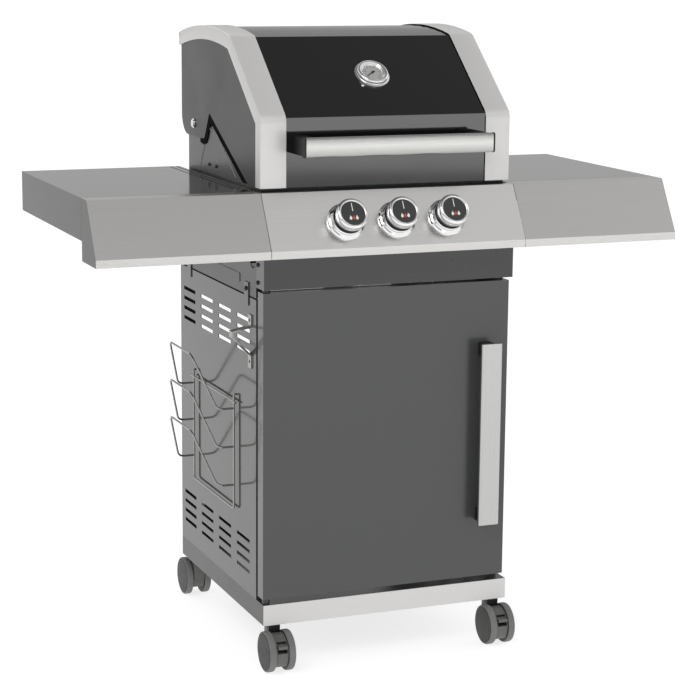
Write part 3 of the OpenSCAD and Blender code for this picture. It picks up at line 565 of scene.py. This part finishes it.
CASE_MM = [
    (0, 0), (32.6, 0), (33, 0.5), (32.8, 1.2), (31, 1.8), (29.6, 2.2), (29.8, 3.0), (30, 4.5),
    (29.9, 6.0), (29.3, 7.8), (28.2, 9.2), (26.6, 9.9), (24.8, 9.9), (23.2, 9.3), (21.8, 8.2),
    (20.4, 7.2), (19.2, 6.6), (18.6, 5.8), (18.5, 5.0),
]
PROBE_MM = [(0, -60), (2.2, -59), (3, -56), (3, -7.2), (8, -7.2), (8, -1.4), (0, -1.4)]
SCREW_MM = [(0, -0.2), (3, -0.2), (3, 0.8), (2.4, 1.8), (1.2, 2.3), (0, 2.4)]
SCREW_OFFSET = (-0.027, -0.029, 0)
TICK_R = 0.0145
TICKS = 11
TICK_START = 225
TICK_SPAN = 270


def build_thermometer():
    place = joint_place("needle_turn")
    bm = bmesh.new()
    dial_z_mm = CASE_MM[-1][1]
    add_lathe(bm, mm(CASE_MM + [(0, dial_z_mm)]), place, [0] * (len(CASE_MM) - 1) + [1])
    add_lathe(bm, mm(PROBE_MM), place, around=24)
    add_lathe(bm, mm(SCREW_MM), place @ Matrix.Translation(SCREW_OFFSET), around=24)
    low = (dial_z_mm - 0.1) / 1000
    high = (dial_z_mm + 0.2) / 1000
    for k in range(TICKS):
        a = math.radians(TICK_START - TICK_SPAN * k / (TICKS - 1))
        centre = Matrix.Translation((TICK_R * math.cos(a), TICK_R * math.sin(a), 0))
        half_mm = 1.8 if k % 2 == 0 else 1.1
        tick = [(-half_mm, -0.5), (half_mm, -0.5), (half_mm, 0.5), (-half_mm, 0.5)]
        add_slab(bm, mm(tick), low, high, place @ centre @ Matrix.Rotation(a, 4, "Z"), 2)
    name = "thermometer_look"
    piece = new_piece(name, finished(bm, name), [chrome, dial_paint, mark_dark], "lid")
    sharp_above(piece, 50)
    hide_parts("thermometer_case", "thermometer_dial")


# ---------------------------------------------------------------- lid

LID_FRONT_MM = (23.5, 881)
LOWER_KINK_MM = (23.5, 1005.5)
UPPER_KINK_MM = (190.5, 1140.5)
LID_BACK_MM = (494, 1135)
CROWN_MM = 15.5
TRIM_INNER_MM = 194
TRIM_OUTER_MM = 243
TRIM_T_MM = 3
FLANGE_MM = 26
# Across the trim from its inner edge round to the side flange's inside: (distance from the middle,
# depth under the outline)
TRIM_SECTION_MM = [
    (TRIM_INNER_MM, TRIM_T_MM), (TRIM_INNER_MM, 0.7), (194.3, 0.2), (195, 0), (240.4, 0),
    (241.8, 0.3), (242.7, 1.2), (TRIM_OUTER_MM, 2.6), (TRIM_OUTER_MM, 25.4), (242.4, FLANGE_MM),
    (240.5, FLANGE_MM), (240.5, TRIM_T_MM),
]
TRIM_KINK_ROUND_MM = {1: 11, 2: 12}
TRIM_DROP_MM = (2, 25)


def bow(a, b, rise, steps):
    """Points of a circular arc from a to b that rises above its chord."""
    a, b = Vector(a), Vector(b)
    half = (b - a).length / 2
    radius = (half * half + rise * rise) / (2 * rise)
    along = (b - a).normalized()
    up = Vector((-along.y, along.x))
    centre = (a + b) / 2 - up * (radius - rise)
    span = math.asin(half / radius)
    angles = [span * (2 * k / steps - 1) for k in range(steps + 1)]
    return [centre + radius * (math.sin(t) * along + math.cos(t) * up) for t in angles]


def inset_points(points, depth):
    """The outline moved to the right of its direction by depth, with mitred corners."""
    moved = []
    for i, here in enumerate(points):
        ways = []
        if i > 0:
            ways.append((here - points[i - 1]).normalized())
        if i < len(points) - 1:
            ways.append((points[i + 1] - here).normalized())
        rights = [Vector((way.y, -way.x)) for way in ways]
        middle = sum(rights, Vector((0, 0))).normalized()
        moved.append(here + middle * depth / middle.dot(rights[0]))
    return moved


def trim_rails():
    """Pairs of an outer point and the point under it by FLANGE_MM, along the rounded outline."""
    crown = bow(UPPER_KINK_MM, LID_BACK_MM, CROWN_MM, 24)
    outline = [Vector(LID_FRONT_MM), Vector(LOWER_KINK_MM)] + crown
    inner = inset_points(outline, FLANGE_MM)
    rails = []
    for i, (outer_point, inner_point) in enumerate(zip(outline, inner)):
        if i in TRIM_KINK_ROUND_MM:
            for corner in bisected_corner(outline, i, TRIM_KINK_ROUND_MM[i], steps=8):
                rails.append((corner, inner_point))
        else:
            rails.append((outer_point, inner_point))
    return rails


def build_trim(side):
    bm = bmesh.new()
    rings = []
    for outer_point, inner_point in trim_rails():
        ring = []
        for across_mm, depth_mm in TRIM_SECTION_MM:
            p = outer_point.lerp(inner_point, depth_mm / FLANGE_MM)
            ring.append(bm.verts.new(at(SIDES[side] * across_mm, p.x, p.y)))
        rings.append(ring)
    count = len(TRIM_SECTION_MM)
    for one, two in zip(rings, rings[1:]):
        for k in range(count):
            n = (k + 1) % count
            face = bm.faces.new((one[k], one[n], two[n], two[k]))
            # The inner edge face gets the near-black: painted shade for the shadow gap beside the lid
            # panel
            face.material_index = 1 if k == 0 else 0
    bm.faces.new(reversed(rings[0]))
    bm.faces.new(rings[-1])
    back, top = LID_BACK_MM
    high, low = (top - drop for drop in TRIM_DROP_MM)
    drop = [(back - TRIM_T_MM, high), (back, high), (back, low), (back - TRIM_T_MM, low)]
    add_slab(bm, mm(drop), TRIM_INNER_MM / 1000, TRIM_OUTER_MM / 1000, side_place(side))
    name = "lid_trim_look_" + side
    piece = new_piece(name, finished(bm, name), [silver_paint, shade_black], "lid")
    sharp_above(piece, 32)
    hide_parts("lid_trim_" + side)


# The peaked notch in the lid's end plates, and a black strip that lines it: painted shadow that the
# notch's edge casts on the firebox end, and painted shade on the plate's edge
NOTCH_MM = [(373, 940), (355, 940), (345, 943), (318, 988), (316, 990), (312.5, 989.5), (97, 881)]
NOTCH_SHADOW_MM = [(127, 881), (306, 971), (311, 971.5), (315, 969), (331, 940), (341, 932), (354, 929),
             (373, 932)]
# Known fault: with the lid shut the painted-shadow strip starts 0.4 mm inside the outer side of the pad's
# edge
NOTCH_SHADOW_FROM = 0.2384
NOTCH_SHADOW_TO = 0.2398


def build_notch_shadow(side):
    bm = bmesh.new()
    add_slab(bm, mm(NOTCH_MM + NOTCH_SHADOW_MM), NOTCH_SHADOW_FROM, NOTCH_SHADOW_TO, side_place(side))
    name = "notch_painted_shadow_" + side
    piece = new_piece(name, finished(bm, name), [shade_black], "lid")


# The pad pressed out of each firebox end, outlined by its rounded edge, which is coloured lighter than the
# end plate as a painted highlight
PAD_MM = [(381, 884.5), (339, 949.5), (324, 969.5), (315, 957.5), (298, 967.5), (275, 951.5),
          (168, 884.5)]
PAD_X_MM = 237.8
PAD_EDGE_R = 0.0010
PAD_BEND = 0.006


def build_pad_edge(side):
    bm = bmesh.new()
    points = [at(SIDES[side] * PAD_X_MM, back, z) for back, z in PAD_MM]
    add_tube(bm, points, PAD_EDGE_R, PAD_BEND, around=8)
    name = "pad_edge_" + side
    piece = new_piece(name, finished(bm, name), [pad_edge_highlight_paint], "grill_frame")
    sharp_above(piece, 60)


# A black strip along the joint between each firebox end and the side panel under it: painted shade for the
# shadow gap there
JOINT_SHADE_MM = [(41.5, 679.8), (489, 679.8), (489, 682.6), (41.5, 682.6)]
JOINT_SHADE_FROM = 0.2438
JOINT_SHADE_TO = 0.2444


def build_panel_joint_shade(side):
    bm = bmesh.new()
    add_slab(bm, mm(JOINT_SHADE_MM), JOINT_SHADE_FROM, JOINT_SHADE_TO, side_place(side))
    name = "panel_joint_painted_shade_" + side
    piece = new_piece(name, finished(bm, name), [shade_black], "grill_frame")


# The flange that closes the corner over each side panel's front edge
CORNER_MM = [(41.7, 682.5), (43, 682.5), (43, 704.8), (41.7, 704.8)]
CORNER_FROM = 0.224
CORNER_TO = 0.2424


def build_corner_flange(side):
    bm = bmesh.new()
    add_slab(bm, mm(CORNER_MM), CORNER_FROM, CORNER_TO, side_place(side))
    name = "corner_flange_" + side
    piece = new_piece(name, finished(bm, name), [dark_grey_paint], "grill_frame")


# A black strip in the gap between the control panel and each fascia: painted shade that makes the gap a
# dark line
SEAM_SHADE_MM = [(45, 767), (45, 872.6), (12.3, 872.6), (-43, 779.5), (-43, 767)]
SEAM_SHADE_FROM = 0.2441
SEAM_SHADE_TO = 0.2464


def build_seam_shade(side):
    bm = bmesh.new()
    add_slab(bm, mm(SEAM_SHADE_MM), SEAM_SHADE_FROM, SEAM_SHADE_TO, side_place(side))
    name = "fascia_seam_painted_shade_" + side
    piece = new_piece(name, finished(bm, name), [shade_black], "grill_frame")


def rounded_box_section(width, height, radius, steps=6):
    """Points of a rounded rectangle about the origin, anticlockwise."""
    points = []
    for quarter, (sx, sy) in enumerate(((1, 1), (-1, 1), (-1, -1), (1, -1))):
        centre = (sx * (width / 2 - radius), sy * (height / 2 - radius))
        for k in range(steps + 1):
            a = math.radians(90 * (quarter + k / steps))
            points.append((centre[0] + radius * math.cos(a), centre[1] + radius * math.sin(a)))
    return points


def build_lid_bar():
    low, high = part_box("lid_handle_bar")
    middle = (low + high) / 2
    half = (high.x - low.x) / 2
    depth = high.y - low.y
    height = high.z - low.z
    cap_t = 0.003
    cap_lip = 0.0004
    place = Matrix((Vector((0, 1, 0)), Vector((0, 0, 1)), Vector((1, 0, 0)))).transposed().to_4x4()
    place.translation = middle
    bm = bmesh.new()
    bar = rounded_box_section(depth - 2 * cap_lip, height - 2 * cap_lip, 0.0045)
    cap = rounded_box_section(depth, height, 0.0050)
    add_slab(bm, bar, -half + cap_t, half - cap_t, place, 0)
    add_slab(bm, cap, -half, -half + cap_t, place, 1)
    add_slab(bm, cap, half - cap_t, half, place, 1)
    piece = new_piece("lid_bar_look", finished(bm, "lid_bar_look"), [steel_bar, black_plastic], "lid")
    sharp_above(piece, 40)
    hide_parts("lid_handle_bar")


# ---------------------------------------------------------------- stage

CAMERA_TARGET = Vector((0.0020, -0.01716, 0.5456))
CAMERA_DISTANCE = 3.957
CAMERA_AZIMUTH = -0.3847
CAMERA_ELEVATION = 0.1944
CAMERA_ROLL = 0.0091
CAMERA_LENS_MM = 106.9
CAMERA_SENSOR_MM = 36


def build_camera():
    data = bpy.data.cameras.new("camera")
    data.lens = CAMERA_LENS_MM
    data.sensor_width = CAMERA_SENSOR_MM
    data.clip_start = 0.1
    data.clip_end = 500
    camera = bpy.data.objects.new("camera", data)
    bpy.context.scene.collection.objects.link(camera)
    level = math.cos(CAMERA_ELEVATION)
    back = Vector((math.sin(CAMERA_AZIMUTH) * level, -math.cos(CAMERA_AZIMUTH) * level,
                   math.sin(CAMERA_ELEVATION)))
    right = (-back).cross(Vector((0, 0, 1))).normalized()
    up = right.cross(-back)
    turned_right = right * math.cos(CAMERA_ROLL) + up * math.sin(CAMERA_ROLL)
    turned_up = up * math.cos(CAMERA_ROLL) - right * math.sin(CAMERA_ROLL)
    pose = Matrix((turned_right, turned_up, back)).transposed().to_4x4()
    pose.translation = CAMERA_TARGET + back * CAMERA_DISTANCE
    camera.matrix_world = pose
    bpy.context.scene.camera = camera


FLOOR_HALF = 150
FLOOR_GREY = 0.45
FLOOR_GLOW = 0.76


def build_floor():
    """A pale floor that glows enough to be plain white behind the grill."""
    mesh = bpy.data.meshes.new("floor")
    far = FLOOR_HALF
    corners = [(-far, -far, 0), (far, -far, 0), (far, far, 0), (-far, far, 0)]
    mesh.from_pydata(corners, [], [(0, 1, 2, 3)])
    floor = bpy.data.objects.new("floor", mesh)
    shader = Shader("floor_white", (FLOOR_GREY, FLOOR_GREY, FLOOR_GREY), 0.9)
    shader.set("Emission Color", (1, 1, 1, 1))
    shader.set("Emission Strength", FLOOR_GLOW)
    mesh.materials.append(shader.material)
    bpy.context.scene.collection.objects.link(floor)


# Grey of the studio by how steeply a direction rises: 0 at the horizon and below, 1 straight up
WORLD_HORIZON_GREY = 0.50
WORLD_MIDDLE_GREYS = ((0.25, 0.54), (0.50, 0.85), (0.72, 0.85), (0.88, 0.30))
WORLD_ROOF_GREY = 0.20


def build_world():
    """A studio: palest halfway up, dark overhead."""
    world = bpy.data.worlds.new("studio")
    world.use_nodes = True
    tree = world.node_tree
    background = tree.nodes["Background"]
    place = tree.nodes.new("ShaderNodeTexCoord")
    split = tree.nodes.new("ShaderNodeSeparateXYZ")
    ramp = tree.nodes.new("ShaderNodeValToRGB")
    tree.links.new(place.outputs["Generated"], split.inputs["Vector"])
    tree.links.new(split.outputs["Z"], ramp.inputs["Fac"])
    tree.links.new(ramp.outputs["Color"], background.inputs["Color"])
    stops = ramp.color_ramp.elements
    stops[0].color = (WORLD_HORIZON_GREY, WORLD_HORIZON_GREY, WORLD_HORIZON_GREY, 1)
    stops[1].color = (WORLD_ROOF_GREY, WORLD_ROOF_GREY, WORLD_ROOF_GREY, 1)
    for position, grey in WORLD_MIDDLE_GREYS:
        stop = stops.new(position)
        stop.color = (grey, grey, grey, 1)
    background.inputs["Strength"].default_value = 1.0
    bpy.context.scene.world = world


def area_light(name, position, target, size, power):
    """A rectangular light of `size` metres and `power` watts that faces the target."""
    data = bpy.data.lights.new(name, "AREA")
    data.shape = "RECTANGLE"
    data.size, data.size_y = size
    data.energy = power
    light = bpy.data.objects.new(name, data)
    light.location = position
    aim = Vector(target) - Vector(position)
    light.rotation_mode = "QUATERNION"
    light.rotation_quaternion = aim.to_track_quat("-Z", "Y")
    bpy.context.scene.collection.objects.link(light)


def build_lights():
    middle = (0, 0, 0.7)
    area_light("key", (-2.4, -2.6, 3.6), middle, (2.4, 1.8), 45)
    area_light("rim", (-1.0, 3.2, 2.6), middle, (2.4, 1.2), 9)
    area_light("fill", (3.2, 0.5, 1.5), middle, (1.6, 1.6), 12)
    # A low strip in front, which the lid's upright face mirrors
    area_light("lid_strip", (1.2, -3.4, 0.68), (0.2, 0, 0.95), (3.0, 0.30), 7)


# ---------------------------------------------------------------- build it

dress_nodes()
paint_details()
for knob in KNOBS:
    build_knob(knob)
for wheel_place in WHEEL_PLACES:
    build_wheels(wheel_place)
build_wire_rack()
build_thermometer()
for side in SIDES:
    build_seam_shade(side)
    build_panel_joint_shade(side)
    build_corner_flange(side)
    build_trim(side)
    build_notch_shadow(side)
    build_pad_edge(side)
build_lid_bar()
build_floor()
build_world()
build_lights()
build_camera()
bpy.context.scene.view_settings.view_transform = "Standard"
